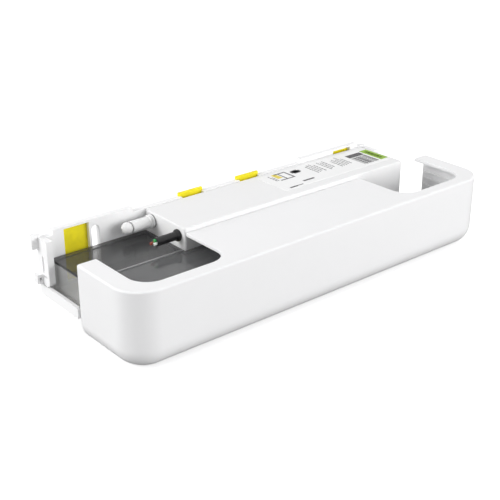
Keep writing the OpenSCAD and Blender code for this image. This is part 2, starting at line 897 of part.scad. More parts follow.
// Spout for the drain hose, with a neck in the tank's right wall
module tank_spout()
    color([0.5, 0.52, 0.54, 0.6])
        difference() {
            union() {
                rod_x(tank_right - tank_wall, tank_right, inlet_d, inlet_h, inlet_r - 1 - fit);
                rod_x(tank_right, tank_right + inlet_l, inlet_d, inlet_h, inlet_r);
            }
            rod_x(tank_right - tank_wall - 1, tank_right + inlet_l + 1, inlet_d, inlet_h, inlet_r - spout_wall);
        }

// Lid with a low rib in line with the front of the block
module tank_lid()
    color([0.25, 0.26, 0.28, 0.8]) {
        tank_slice(0, tank_top + gasket_t, lid_top);
        bar(-tank_left + 3, bay_right - 1, block_front - 0.4, block_front + 0.6, lid_top, lid_top + 0.8);
    }

module tank_gasket()
    color("dimgray")
        difference() {
            tank_slice(0.4, tank_top, tank_top + gasket_t);
            tank_slice(tank_wall - 0.2, tank_top - 1, tank_top + gasket_t + 1);
        }

// Slotted cup in front of the spigot, inside the tank
module suction_filter()
    color("lightgray") {
        back = bay_front + tank_wall;
        difference() {
            rod_d(spigot_x, back, back + 16, spigot_h, 7);
            rod_d(spigot_x, back - 1, back + 14.5, spigot_h, 5.8);
            for (i = [0 : 3])
                bar(spigot_x - 8, spigot_x + 8, back + 2 + 3 * i, back + 3.2 + 3 * i, spigot_h - 8, spigot_h + 4);
        }
    }

// ---- Float ----

function float_low() = sump_floor + tank_wall + 2.4;

// Ring-shaped float with a groove for its magnet
module float()
    color("gainsboro")
        difference() {
            rod_z(float_x, float_d, float_low(), float_low() + float_h, float_r);
            rod_z(float_x, float_d, float_low() - 1, float_low() + float_h + 1, stem_r + clear);
            magnet_ring(float_low() + float_h - 4, float_low() + float_h + 1, fit);
        }

module magnet_ring(low, high, spare)
    difference() {
        rod_z(float_x, float_d, low, high, 6 + spare);
        rod_z(float_x, float_d, low - 1, high + 1, 3.6 - spare);
    }

module float_magnet()
    color("dimgray") magnet_ring(float_low() + float_h - 4, float_low() + float_h, 0);

// Stem that the float slides on, hanging from the lid, with a collar that stops the float at the top
module float_stem()
    color("gainsboro") {
        stop = float_low() + float_h + float_travel + clear;
        rod_z(float_x, float_d, stop, stop + 1, stem_r + 1.6);
        rod_z(float_x, float_d, float_low() - 1.4, tank_top + gasket_t, stem_r);
        rod_z(float_x, float_d, tank_top + gasket_t - 1.5, tank_top + gasket_t, stem_r + 2);
    }

// Clip that keeps the float on its stem
module float_clip()
    color("silver")
        difference() {
            rod_z(float_x, float_d, float_low() - 1.2, float_low() - 0.2, stem_r + 1.6);
            rod_z(float_x, float_d, float_low() - 2, float_low() + 1, stem_r);
        }

wall_plate();
adhesive_pads();
front_cover();
pump_housing();
housing_base();
housing_screws();
type_label();
outlet_sleeve();
outlet_nozzle();
outlet_seal();
cable_grommet();
cable_sheath();
cable_core_earth();
cable_core_neutral();
cable_core_live();
cable_clamp();
terminal_block();
control_board();
board_relay();
board_capacitor();
sensor_board();
sensor_lead();
pump_tube();
pump_coil();
coil_yoke();
pump_piston();
piston_spring_left();
piston_spring_right();
pump_dampers();
suction_tube();
suction_spigot();
spigot_seal();
discharge_tube();
tank();
tank_spout();
tank_lid();
tank_gasket();
suction_filter();
float();
float_magnet();
float_stem();
float_clip();
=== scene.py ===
"""Condensate pump: wall plate, pump block, smoked water tank and slip-on cover.

Metres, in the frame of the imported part: X along the length, the wall at Y = 0 with the room on
the -Y side, Z up. Visible shells are modelled here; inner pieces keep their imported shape.
"""
import json
import math
import random

import bmesh
import bpy
from mathutils import Euler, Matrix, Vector


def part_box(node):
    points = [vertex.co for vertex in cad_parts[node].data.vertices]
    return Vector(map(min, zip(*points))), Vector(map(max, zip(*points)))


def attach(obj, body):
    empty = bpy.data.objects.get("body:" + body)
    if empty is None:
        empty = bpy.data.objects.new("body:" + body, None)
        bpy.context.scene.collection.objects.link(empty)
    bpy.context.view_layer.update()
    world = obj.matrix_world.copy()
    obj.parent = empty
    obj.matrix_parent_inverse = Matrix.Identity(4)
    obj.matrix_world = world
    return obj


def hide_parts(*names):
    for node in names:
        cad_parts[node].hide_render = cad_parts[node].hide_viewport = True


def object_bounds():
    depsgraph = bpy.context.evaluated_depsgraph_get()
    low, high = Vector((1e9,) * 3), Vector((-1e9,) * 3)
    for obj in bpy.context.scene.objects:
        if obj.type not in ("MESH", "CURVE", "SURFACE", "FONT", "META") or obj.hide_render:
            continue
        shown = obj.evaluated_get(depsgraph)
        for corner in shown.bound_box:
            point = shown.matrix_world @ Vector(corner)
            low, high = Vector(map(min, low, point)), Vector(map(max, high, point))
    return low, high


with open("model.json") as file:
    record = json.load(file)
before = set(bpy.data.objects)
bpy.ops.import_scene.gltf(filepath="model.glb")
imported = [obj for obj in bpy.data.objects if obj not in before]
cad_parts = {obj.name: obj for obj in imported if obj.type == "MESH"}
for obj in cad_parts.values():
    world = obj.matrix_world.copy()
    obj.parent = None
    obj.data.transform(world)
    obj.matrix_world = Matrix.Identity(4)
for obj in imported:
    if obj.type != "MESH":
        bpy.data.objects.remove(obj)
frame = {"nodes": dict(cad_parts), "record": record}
CAD_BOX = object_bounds()

MM = 0.001
# Two places this close count as one
NEAR = 0.02 * MM
# How far a rib or tab runs into the wall that it stands on
JOIN = 0.2 * MM
# Distance between the stripes of a wave pattern whose scale is 1
WAVE_PERIOD = 0.314

# Cover
COVER_WALL = 2.5 * MM
COVER_CORNER_R = 21 * MM
COVER_FOOT_R = 15 * MM
COVER_LIP_R = 1.5 * MM
COVER_EDGE_R = 0.5 * MM
RIM_W = 14 * MM
FRONT_RIM_W = 9.5 * MM
WINDOW_INNER_X = 81.5 * MM
WINDOW_OUTER_R = 15 * MM
WINDOW_INNER_R = 14 * MM
GRIP_H = 1.8 * MM
GRIP_OUT = 1.2 * MM
GRIP_PITCH = 5.5 * MM
GRIP_ABOVE_FOOT = 10 * MM
GRIP_BEHIND_CORNER = 6 * MM
GRIP_SHORT_OF_BACK = 2 * MM
GRIPS = 4
TAB_W = 12 * MM
TAB_T = 2 * MM
TAB_ABOVE_LID = 1.2 * MM
BLOCK_GAP = 0.3 * MM

# Pump block
BLOCK_WALL = 2 * MM
BLOCK_CORNER_R = 1.5 * MM
BLOCK_TOP_R = 0.9 * MM
LEAD_HOLE_R = 3.7 * MM
OUTLET_HOLE_R = 3.1 * MM
POST_R = 3.4 * MM
POST_LIFT = 0.2 * MM
POST_BORE_R = 1.25 * MM
POST_BORE_DEPTH = 10 * MM
SCREW_HEAD_R = 2.7 * MM
BASE_EDGE_R = 0.25 * MM

# Label
INK_T = 0.03 * MM
SHORTEST_DASH = 1.0
LONGEST_DASH = 3.2

# Mains lead
LEAD_R = 3 * MM
SHEATH_WALL = 0.65 * MM
COPPER_R = 0.5 * MM
STRANDS_AROUND = 6

# Wall plate, pads and tank
SHELL_EDGE_R = 0.3 * MM
PAD_W = 21 * MM
PAD_INNER_X = 26.4 * MM
PAD_OUTER_X = 122.6 * MM
PAD_EDGE_R = 0.25 * MM
LID_RIB_H = 0.8 * MM
# Painted highlight: the pale grey the lid's rib is painted, in place of the light its edge catches
RIB_HIGHLIGHT_GREY = (0.55, 0.55, 0.56)

# Camera, set for a view from the left of the front and above
CAMERA_PLACE = (-0.4284, -0.5328, 0.2767)
CAMERA_AZIMUTH = -39.9
CAMERA_ELEVATION = 24.5
CAMERA_LENS = 70.4

# Studio: what the floor gives off to the camera, its colour to the camera and to other surfaces
FLOOR_SIZE = 8
FLOOR_GAP = 0.2 * MM
FLOOR_GLOW = 0.45
FLOOR_SEEN = (0.94, 0.94, 0.94)
FLOOR_BOUNCE = (0.3, 0.3, 0.3)
SKY = 1.18


# ---- Working with objects ----

def only(*objects):
    """Selects just these objects, the first one active."""
    bpy.ops.object.select_all(action="DESELECT")
    for obj in objects:
        obj.select_set(True)
    bpy.context.view_layer.objects.active = objects[0]


def settle():
    """Puts the active object's place and size into its mesh."""
    bpy.ops.object.transform_apply(location=True, rotation=True, scale=True)


def block(name, low, high):
    """Box between two corners."""
    low, high = Vector(low), Vector(high)
    bpy.ops.object.select_all(action="DESELECT")
    bpy.ops.mesh.primitive_cube_add(size=1, location=(low + high) / 2)
    obj = bpy.context.object
    obj.name = name
    obj.scale = high - low
    settle()
    return obj


def rod(name, start, end, radius, sides=32):
    """Round rod between two points."""
    start, end = Vector(start), Vector(end)
    bpy.ops.object.select_all(action="DESELECT")
    bpy.ops.mesh.primitive_cylinder_add(
        vertices=sides,
        radius=radius,
        depth=(end - start).length,
        location=(start + end) / 2,
        rotation=(end - start).to_track_quat("Z", "Y").to_euler(),
    )
    obj = bpy.context.object
    obj.name = name
    settle()
    return obj


def near(a, b):
    return abs(a - b) < NEAR


def on_plane(axis, limit):
    """A test that both ends of an edge lie on a plane across an axis."""
    return lambda a, b: near(a[axis], limit) and near(b[axis], limit)


def edit(obj, kind):
    """Opens edit mode with nothing selected and returns the shape to select in."""
    only(obj)
    bpy.ops.object.mode_set(mode="EDIT")
    bpy.ops.mesh.select_mode(type=kind)
    bpy.ops.mesh.select_all(action="DESELECT")
    return bmesh.from_edit_mesh(obj.data)


def close(obj):
    """Leaves edit mode."""
    bpy.ops.object.mode_set(mode="OBJECT")
    return obj


def round_edges(obj, test, radius, steps):
    """Rounds the edges whose two ends pass a test."""
    shape = edit(obj, "EDGE")
    for edge in shape.edges:
        if test(edge.verts[0].co, edge.verts[1].co):
            edge.select_set(True)
    bmesh.update_edit_mesh(obj.data)
    bpy.ops.mesh.bevel(offset=radius, segments=steps, profile=0.5, affect="EDGES")
    return close(obj)


def drop_faces(obj, test):
    """Deletes the faces whose middle and normal pass a test."""
    shape = edit(obj, "FACE")
    for face in shape.faces:
        if test(face.calc_center_median(), face.normal):
            face.select_set(True)
    bmesh.update_edit_mesh(obj.data)
    bpy.ops.mesh.delete(type="FACE")
    return close(obj)


def apply_modifier(obj, kind, **values):
    """Adds a modifier with these settings and makes it permanent."""
    only(obj)
    modifier = obj.modifiers.new(kind.title(), kind)
    for key, value in values.items():
        setattr(modifier, key, value)
    bpy.ops.object.modifier_apply(modifier=modifier.name)
    return obj


def thicken(obj, wall):
    """Gives an open shell its wall, on the inside."""
    return apply_modifier(obj, "SOLIDIFY", thickness=wall, offset=-1, use_even_offset=True)


def cut(obj, *cutters):
    """Takes the cutters out of an object and deletes them."""
    for cutter in cutters:
        apply_modifier(obj, "BOOLEAN", object=cutter, operation="DIFFERENCE", solver="EXACT")
        bpy.data.objects.remove(cutter)
    return obj


def add(obj, *others):
    """Joins other objects into one."""
    only(obj, *others)
    bpy.ops.object.join()
    return obj


def soften(obj, width, steps=2, angle=40):
    """Takes the sharpness off every edge that turns more than an angle."""
    return apply_modifier(
        obj, "BEVEL", width=width, segments=steps, limit_method="ANGLE",
        angle_limit=math.radians(angle), use_clamp_overlap=True,
    )


def smooth(obj, angle=35):
    """Shades round stretches smooth and keeps flat faces flat."""
    only(obj)
    bpy.ops.object.shade_smooth_by_angle(angle=math.radians(angle))
    apply_modifier(obj, "WEIGHTED_NORMAL", keep_sharp=True, weight=60)
    return obj


def copy_of(node, name):
    """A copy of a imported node, with its triangles merged into whole faces."""
    mesh = frame["nodes"][node].data.copy()
    mesh.materials.clear()
    obj = bpy.data.objects.new(name, mesh)
    bpy.context.scene.collection.objects.link(obj)
    only(obj)
    bpy.ops.mesh.customdata_custom_splitnormals_clear()
    edit(obj, "VERT")
    bpy.ops.mesh.select_all(action="SELECT")
    bpy.ops.mesh.remove_doubles(threshold=0.002 * MM)
    bpy.ops.mesh.dissolve_limited(angle_limit=math.radians(0.6))
    return close(obj)


def turned(name, outline, place, steps=48):
    """A closed outline of (x, radius) points turned about a line along X through a place."""
    place = Vector(place)
    points = [place + Vector((x, 0, radius)) for x, radius in outline]
    mesh = bpy.data.meshes.new(name)
    count = len(points)
    mesh.from_pydata(points, [(i, (i + 1) % count) for i in range(count)], [])
    obj = bpy.data.objects.new(name, mesh)
    bpy.context.scene.collection.objects.link(obj)
    edit(obj, "VERT")
    bpy.ops.mesh.select_all(action="SELECT")
    bpy.ops.mesh.spin(steps=steps, angle=math.tau, center=place, axis=(1, 0, 0))
    bpy.ops.mesh.select_all(action="SELECT")
    bpy.ops.mesh.remove_doubles(threshold=0.001 * MM)
    bpy.ops.mesh.normals_make_consistent(inside=False)
    return close(obj)


def dress(obj, material, body, slot, *nodes):
    """Gives a piece its material and its body, and hides the imported nodes that it stands for."""
    obj.data.materials.clear()
    obj.data.materials.append(material)
    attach(obj, body)
    if nodes:
        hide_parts(*nodes)
    return obj


# ---- Materials ----

class Finish:
    """A Principled material whose colour, roughness and surface come from patterns."""

    def __init__(self, name, roughness=0.4, **sockets):
        self.material = bpy.data.materials.new(name)
        self.material.use_nodes = True
        self.tree = self.material.node_tree
        self.shader = self.tree.nodes["Principled BSDF"]
        self.shader.inputs["Roughness"].default_value = roughness
        for key, value in sockets.items():
            self.shader.inputs[key.replace("_", " ")].default_value = value
        self.place = self.node("ShaderNodeTexCoord").outputs["Object"]
        self.height = None

    def node(self, kind, **values):
        made = self.tree.nodes.new(kind)
        for key, value in values.items():
            if key in made.inputs:
                made.inputs[key].default_value = value
            else:
                setattr(made, key, value)
        return made

    def link(self, out, into):
        self.tree.links.new(out, into)

    def stretched(self, scale):
        """The place, scaled by a different amount along each axis."""
        mapping = self.node("ShaderNodeMapping")
        mapping.inputs["Scale"].default_value = scale
        self.link(self.place, mapping.inputs["Vector"])
        return mapping.outputs["Vector"]

    def noise(self, size, detail=3.0, where=None):
        """Cloudy pattern with patches of about a size in metres."""
        made = self.node("ShaderNodeTexNoise", Scale=1 / size, Detail=detail)
        self.link(where or self.place, made.inputs["Vector"])
        return made.outputs["Fac"]

    def cells(self, size):
        """Distance from the middle of the nearest of many cells of a size in metres."""
        made = self.node("ShaderNodeTexVoronoi", Scale=1 / size)
        self.link(self.place, made.inputs["Vector"])
        return made.outputs["Distance"]

    def bands(self, size, direction="X", distortion=0.0):
        """Stripes across an axis, one every size metres."""
        made = self.node("ShaderNodeTexWave", Scale=WAVE_PERIOD / size, Distortion=distortion)
        made.bands_direction = direction
        self.link(self.place, made.inputs["Vector"])
        return made.outputs["Fac"]

    def ramp(self, pattern, *stops):
        """Colours along a pattern, as (position, colour) stops."""
        made = self.node("ShaderNodeValToRGB")
        bar = made.color_ramp
        while len(bar.elements) < len(stops):
            bar.elements.new(0.5)
        for element, (position, colour) in zip(bar.elements, stops):
            element.position = position
            element.color = (*colour, 1)
        self.link(pattern, made.inputs["Fac"])
        return made.outputs["Color"]

    def side(self, axis, limit, test):
        """1 on one side of a plane across an axis, 0 on the other."""
        split = self.node("ShaderNodeSeparateXYZ")
        self.link(self.place, split.inputs["Vector"])
        made = self.node("ShaderNodeMath", operation=test)
        self.link(split.outputs[axis], made.inputs[0])
        made.inputs[1].default_value = limit
        return made.outputs["Value"]

    def lighter(self, colour, other, mask):
        """A colour that turns into another one where a mask is 1."""
        made = self.node("ShaderNodeMix", data_type="RGBA")
        self.link(mask, made.inputs["Factor"])
        self.link(colour, made.inputs["A"])
        made.inputs["B"].default_value = (*other, 1)
        return made.outputs["Result"]

    def colour(self, source):
        self.link(source, self.shader.inputs["Base Color"])
        return self

    def rough(self, pattern, low, high):
        """Roughness that follows a pattern between two values."""
        made = self.node("ShaderNodeMapRange")
        made.inputs["From Min"].default_value = 0.3
        made.inputs["From Max"].default_value = 0.7
        made.inputs["To Min"].default_value = low
        made.inputs["To Max"].default_value = high
        self.link(pattern, made.inputs["Value"])
        self.link(made.outputs["Result"], self.shader.inputs["Roughness"])
        return self

    def relief(self, pattern, depth, strength=1.0):
        """Bump of a depth in metres, on top of any bump that is already there."""
        made = self.node("ShaderNodeBump", Distance=depth, Strength=strength)
        self.link(pattern, made.inputs["Height"])
        if self.height:
            self.link(self.height, made.inputs["Normal"])
        self.height = made.outputs["Normal"]
        self.link(self.height, self.shader.inputs["Normal"])
        return self


def shade(colour, factor):
    """A colour made lighter or darker by a factor."""
    return tuple(min(1.0, part * factor) for part in colour)


def moulded(name, colour, roughness, sheen=0.012, grain=0.25 * MM, depth=0.0006 * MM, **sockets):
    """Moulded plastic: faint flow clouds, a fine grain and a gloss that varies a little."""
    made = Finish(name, roughness, **sockets)
    cloud = made.noise(22 * MM, 4)
    fine = made.noise(grain, 2)
    made.colour(made.ramp(cloud, (0.3, shade(colour, 0.994)), (0.7, shade(colour, 1.004))))
    made.rough(made.noise(6 * MM, 3), roughness - sheen, roughness + sheen)
    made.relief(fine, depth, 0.5)
    return made.material


def foam(name, colour):
    """Closed-cell adhesive foam."""
    made = Finish(name, 0.55, Specular_IOR_Level=0.4)
    cells = made.cells(0.35 * MM)
    cloud = made.noise(5 * MM, 4)
    made.colour(made.ramp(cloud, (0.3, shade(colour, 0.93)), (0.7, shade(colour, 1.04))))
    made.rough(cloud, 0.42, 0.6)
    made.relief(cells, 0.03 * MM, 0.6)
    return made.material


def rubber(name, colour, roughness=0.5):
    """Rubber with a fine grain and pale dust clouds."""
    made = Finish(name, roughness, Specular_IOR_Level=0.45)
    cloud = made.noise(4 * MM, 5)
    made.colour(made.ramp(cloud, (0.35, shade(colour, 0.85)), (0.75, shade(colour, 1.3))))
    made.rough(cloud, roughness - 0.08, roughness + 0.1)
    made.relief(made.noise(0.15 * MM, 2), 0.01 * MM, 0.7)
    return made.material


def smoke(name, colour, alpha, roughness, rib_highlight_z=1.0, deck_y=-1.0, deck_reflection_factor=1.0):
    """Tinted clear plastic with faint flow lines.

    A painted highlight turns it pale grey above the rib height, and a painted reflection makes it
    lighter by the deck factor in front of deck_y. The values that are given by default lie outside
    the object.
    """
    made = Finish(name, roughness, Alpha=alpha, IOR=1.5)
    flow = made.noise(30 * MM, 3, made.stretched((0.4, 1.4, 1)))
    tint_and_painted_light = made.ramp(flow, (0.3, shade(colour, 0.9)), (0.7, shade(colour, 1.12)))
    # Painted reflection: lighter in front of the deck line
    tint_and_painted_light = made.lighter(tint_and_painted_light, shade(colour, deck_reflection_factor), made.side(1, deck_y, "LESS_THAN"))
    # Painted highlight: pale grey above the rib height
    tint_and_painted_light = made.lighter(tint_and_painted_light, RIB_HIGHLIGHT_GREY, made.side(2, rib_highlight_z, "GREATER_THAN"))
    made.colour(tint_and_painted_light)
    made.rough(made.noise(12 * MM, 3), roughness * 0.6, roughness * 1.5)
    made.relief(flow, 0.02 * MM, 0.2)
    return made.material


def steel(name, colour, roughness, direction):
    """Ground or rolled steel, with marks drawn out along an axis."""
    made = Finish(name, roughness, Metallic=1.0)
    along = {"X": (0.03, 1, 1), "Y": (1, 0.03, 1), "Z": (1, 1, 0.03)}[direction]
    marks = made.noise(0.25 * MM, 4, made.stretched(along))
    made.colour(made.ramp(marks, (0.3, shade(colour, 0.82)), (0.7, shade(colour, 1.1))))
    made.rough(marks, roughness - 0.07, roughness + 0.1)
    made.relief(marks, 0.006 * MM)
    return made.material


def winding(name):
    """Copper winding under lapped tape."""
    made = Finish(name, 0.35, Coat_Weight=0.2)
    turns = made.bands(1.6 * MM, "X", 0.4)
    made.colour(made.ramp(
        turns,
        (0.0, (0.2, 0.07, 0.02)),
        (0.5, (0.5, 0.22, 0.08)),
        (0.95, (0.62, 0.3, 0.12)),
    ))
    made.rough(made.noise(3 * MM), 0.25, 0.5)
    made.relief(turns, 0.15 * MM)
    return made.material


def circuit(name):
    """Circuit board: dark lacquer with fine tracks and solder points."""
    made = Finish(name, 0.3, Coat_Weight=0.3)
    bricks = made.node("ShaderNodeTexBrick", Scale=1.0)
    bricks.inputs["Color1"].default_value = (0.015, 0.12, 0.045, 1)
    bricks.inputs["Color2"].default_value = (0.02, 0.16, 0.06, 1)
    bricks.inputs["Mortar"].default_value = (0.05, 0.3, 0.12, 1)
    bricks.inputs["Brick Width"].default_value = 3.4 * MM
    bricks.inputs["Row Height"].default_value = 1.3 * MM
    bricks.inputs["Mortar Size"].default_value = 0.12 * MM
    made.link(made.place, bricks.inputs["Vector"])
    points = made.cells(2.2 * MM)
    mix = made.node("ShaderNodeMix", data_type="RGBA")
    made.link(made.ramp(points, (0.12, (1, 1, 1)), (0.16, (0, 0, 0))), mix.inputs["Factor"])
    made.link(bricks.outputs["Color"], mix.inputs["A"])
    mix.inputs["B"].default_value = (0.6, 0.6, 0.58, 1)
    made.colour(mix.outputs["Result"])
    made.rough(made.noise(4 * MM), 0.2, 0.4)
    made.relief(points, 0.05 * MM, 0.4)
    return made.material


def milky(name, colour):
    """Silicone hose or natural plastic that lets a little light in."""
    made = Finish(name, 0.35, Subsurface_Weight=0.2, Subsurface_Scale=1.5 * MM)
    cloud = made.noise(6 * MM, 4)
    made.colour(made.ramp(cloud, (0.3, shade(colour, 0.93)), (0.7, shade(colour, 1.05))))
    made.rough(cloud, 0.28, 0.45)
    made.relief(made.noise(0.6 * MM), 0.01 * MM)
    return made.material


def printed(name, colour):
    """Ink on label film, a little uneven."""
    made = Finish(name, 0.45)
    cloud = made.noise(0.8 * MM, 4)
    made.colour(made.ramp(cloud, (0.3, shade(colour, 0.85)), (0.7, shade(colour, 1.1))))
    made.rough(made.noise(2 * MM), 0.35, 0.55)
    made.relief(made.noise(0.2 * MM), 0.004 * MM)
    return made.material


# The lid's flat top, and the line across it where its deck begins, just in front of the block. The
# lid is painted a highlight above the top and a lighter reflection in front of the line.
LID_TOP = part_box("tank_lid")[1].z - LID_RIB_H
LID_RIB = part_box("pump_housing")[0].y - 0.6 * MM

FINISHES = {
    "white_abs": moulded(
        "white_abs", (0.88, 0.88, 0.885), 0.3, Coat_Weight=0.15, Coat_Roughness=0.12,
    ),
    "white_plate": moulded(
        "white_plate", (0.93, 0.93, 0.932), 0.42, grain=0.35 * MM, depth=0.0015 * MM,
    ),
    "white_block": moulded("white_block", (0.86, 0.86, 0.862), 0.5),
    "pad_yellow": foam("pad_yellow", (0.88, 0.76, 0.02)),
    "label_print": moulded("label_print", (0.9, 0.9, 0.9), 0.3, grain=0.2 * MM),
    "fitting_white": moulded("fitting_white", (0.87, 0.87, 0.87), 0.26, Coat_Weight=0.2),
    "black_rubber": rubber("black_rubber", (0.016, 0.016, 0.017), 0.42),
    "lead_black": rubber("lead_black", (0.013, 0.013, 0.014), 0.36),
    "core_green": moulded("core_green", (0.05, 0.42, 0.12), 0.35),
    "core_white": moulded("core_white", (0.8, 0.85, 0.8), 0.35),
    "core_brown": moulded("core_brown", (0.3, 0.05, 0.03), 0.35),
    "grey_rubber": rubber("grey_rubber", (0.2, 0.2, 0.205)),
    "tank_smoke": smoke("tank_smoke", (0.82, 0.825, 0.82), 0.17, 0.12),
    # The lid is painted a pale highlight on its rib and a lighter reflection on its deck
    "lid_smoke": smoke(
        "lid_smoke", (0.085, 0.086, 0.088), 0.55, 0.06,
        rib_highlight_z=LID_TOP + 0.1 * MM, deck_y=LID_RIB, deck_reflection_factor=2.2,
    ),
    "screw_steel": steel("screw_steel", (0.62, 0.62, 0.64), 0.3, "Z"),
    "piston_steel": steel("piston_steel", (0.55, 0.55, 0.57), 0.25, "X"),
    "yoke_steel": steel("yoke_steel", (0.36, 0.37, 0.39), 0.45, "X"),
    "coil_wrap": winding("coil_wrap"),
    "natural_plastic": milky("natural_plastic", (0.76, 0.73, 0.64)),
    "board_green": circuit("board_green"),
    "part_blue": moulded("part_blue", (0.04, 0.1, 0.42), 0.35),
    "part_orange": moulded("part_orange", (0.75, 0.28, 0.02), 0.3),
    "terminal_green": moulded("terminal_green", (0.05, 0.4, 0.1), 0.4),
    "hose_clear": milky("hose_clear", (0.7, 0.72, 0.73)),
    "float_foam": foam("float_foam", (0.78, 0.78, 0.75)),
    "magnet": rubber("magnet", (0.05, 0.05, 0.055), 0.6),
}
PRINT_BLACK = printed("print_black", (0.05, 0.05, 0.052))
PRINT_GREY = printed("print_grey", (0.14, 0.14, 0.145))
PRINT_GREEN = printed("print_green", (0.26, 0.46, 0.01))
PRINT_YELLOW = printed("print_yellow", (0.8, 0.66, 0.1))
COPPER = steel("copper_strand", (0.75, 0.33, 0.16), 0.3, "X")

for entry in frame["record"]["subparts"]:
    node = frame["nodes"][entry["node"]]
    node.data.materials.clear()
    node.data.materials.append(FINISHES[entry["material_slot"]])


# ---- Cover ----

def window_cutter(side, low, high):
    """Prism that opens one pipe window, with its own radius at each front corner."""
    outer_x = high.x - RIM_W
    x0, x1 = sorted((side * WINDOW_INNER_X, side * outer_x))
    front = low.y + FRONT_RIM_W
    cutter = block(
        "window_cutter",
        (x0, front, high.z - 2 * COVER_WALL),
        (x1, high.y + COVER_WALL, high.z + COVER_WALL),
    )
    in_front = on_plane(1, front)
    for x, radius in ((side * outer_x, WINDOW_OUTER_R), (side * WINDOW_INNER_X, WINDOW_INNER_R)):
        at_side = on_plane(0, x)
        round_edges(cutter, lambda a, b: at_side(a, b) and in_front(a, b), radius, 14)
    return cutter


def cover_grip(side, row, low, high):
    """One grip rib inside an end wall."""
    face = side * (high.x - COVER_WALL)
    x0, x1 = sorted((face + side * JOIN, face - side * GRIP_OUT))
    z = low.z + COVER_FOOT_R + GRIP_ABOVE_FOOT + row * GRIP_PITCH
    rib = block(
        "grip",
        (x0, low.y + COVER_CORNER_R + GRIP_BEHIND_CORNER, z),
        (x1, high.y - GRIP_SHORT_OF_BACK, z + GRIP_H),
    )
    return soften(rib, COVER_EDGE_R, 3)


def locating_tab(side, high):
    """Tab under the top that stands against the front of the block."""
    x = side * WINDOW_INNER_X / 2
    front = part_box("pump_housing")[0].y - BLOCK_GAP
    tab = block(
        "tab",
        (x - TAB_W / 2, front - TAB_T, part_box("tank_lid")[1].z + TAB_ABOVE_LID),
        (x + TAB_W / 2, front, high.z - COVER_WALL + JOIN),
    )
    return soften(tab, COVER_EDGE_R, 3)


def make_cover():
    """Shell with round corners and foot, open at the back, with two windows in its top."""
    low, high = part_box("front_cover")
    cover = block("cover_shell", low, high)
    in_front, at_back = on_plane(1, low.y), on_plane(1, high.y)
    at_foot, at_top = on_plane(2, low.z), on_plane(2, high.z)
    round_edges(cover, lambda a, b: in_front(a, b) and near(a.x, b.x), COVER_CORNER_R, 20)
    round_edges(cover, lambda a, b: at_foot(a, b) and not at_back(a, b), COVER_FOOT_R, 14)
    drop_faces(cover, lambda middle, normal: normal.y > 0.9)
    thicken(cover, COVER_WALL)
    round_edges(cover, lambda a, b: at_top(a, b) and not at_back(a, b), COVER_LIP_R, 5)
    block_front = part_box("pump_housing")[0].y
    strip = block(
        "strip_cutter",
        (-WINDOW_INNER_X - RIM_W, block_front - BLOCK_GAP, high.z - 2 * COVER_WALL),
        (WINDOW_INNER_X + RIM_W, high.y + COVER_WALL, high.z + COVER_WALL),
    )
    cut(cover, strip, window_cutter(-1, low, high), window_cutter(1, low, high))
    soften(cover, COVER_EDGE_R, 3, 40)
    ribs = [cover_grip(side, row, low, high) for side in (-1, 1) for row in range(GRIPS)]
    tabs = [locating_tab(side, high) for side in (-1, 1)]
    add(cover, *ribs, *tabs)
    smooth(cover)
    dress(cover, FINISHES["white_abs"], "cover", "white_abs", "front_cover")


# ---- Pump block ----

def screw_posts(low, high, x_places, y_places):
    """Posts that take the screws, from the housing's roof down to the split."""
    posts = []
    for x in x_places:
        for y in y_places:
            foot = low.z + POST_LIFT
            roof = high.z - BLOCK_WALL + JOIN / 2
            post = rod("post", (x, y, foot), (x, y, roof), POST_R)
            bore = rod("bore", (x, y, low.z - MM), (x, y, low.z + POST_BORE_DEPTH), POST_BORE_R, 24)
            posts.append(cut(post, bore))
    return posts


def make_housing():
    """Shell of the block, open below, with holes for the lead and the outlet in its left end."""
    low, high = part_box("pump_housing")
    screws_low, screws_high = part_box("housing_screws")
    housing = block("housing_shell", low, high)
    round_edges(housing, lambda a, b: near(a.x, b.x) and near(a.y, b.y), BLOCK_CORNER_R, 5)
    drop_faces(housing, lambda middle, normal: normal.z < -0.9)
    thicken(housing, BLOCK_WALL)
    round_edges(housing, on_plane(2, high.z), BLOCK_TOP_R, 5)
    beyond = 2 * MM
    for node, radius in (("cable_sheath", LEAD_HOLE_R), ("outlet_nozzle", OUTLET_HOLE_R)):
        piece_low, piece_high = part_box(node)
        middle = (piece_low + piece_high) / 2
        cut(housing, rod(
            "hole",
            (low.x - beyond, middle.y, middle.z),
            (low.x + BLOCK_WALL + beyond, middle.y, middle.z),
            radius, 48,
        ))
    posts = screw_posts(
        low, high,
        (screws_low.x + SCREW_HEAD_R, screws_high.x - SCREW_HEAD_R),
        (screws_low.y + SCREW_HEAD_R, screws_high.y - SCREW_HEAD_R),
    )
    add(housing, *posts)
    smooth(housing)
    dress(housing, FINISHES["white_block"], "wall_unit", "white_block", "pump_housing")


def make_base():
    base = soften(copy_of("housing_base", "base_shell"), BASE_EDGE_R, 2, 50)
    smooth(base)
    dress(base, FINISHES["white_block"], "wall_unit", "white_block", "housing_base")


# ---- Label ----

def ink(name, material, spots, low):
    """Thin printed patches, joined into one piece.

    Each patch is (x0, x1, y0, y1) in millimetres from the label's left front corner.
    """
    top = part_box("type_label")[1].z
    patches = []
    for x0, x1, y0, y1 in spots:
        patches.append(block(
            name,
            (low.x + x0 * MM, low.y + y0 * MM, top),
            (low.x + x1 * MM, low.y + y1 * MM, top + INK_T),
        ))
    patch = add(*patches)
    patch.name = name
    return dress(patch, material, "wall_unit", "label_print")


def text_lines(dice, x, width, y0, y1, gap):
    """A row of dashes of random length that stands for a line of print, along Y."""
    spots = []
    y = y0
    while y < y1:
        dash = dice.uniform(SHORTEST_DASH, LONGEST_DASH)
        spots.append((x, x + width, y, min(y + dash, y1)))
        y += dash + gap
    return spots


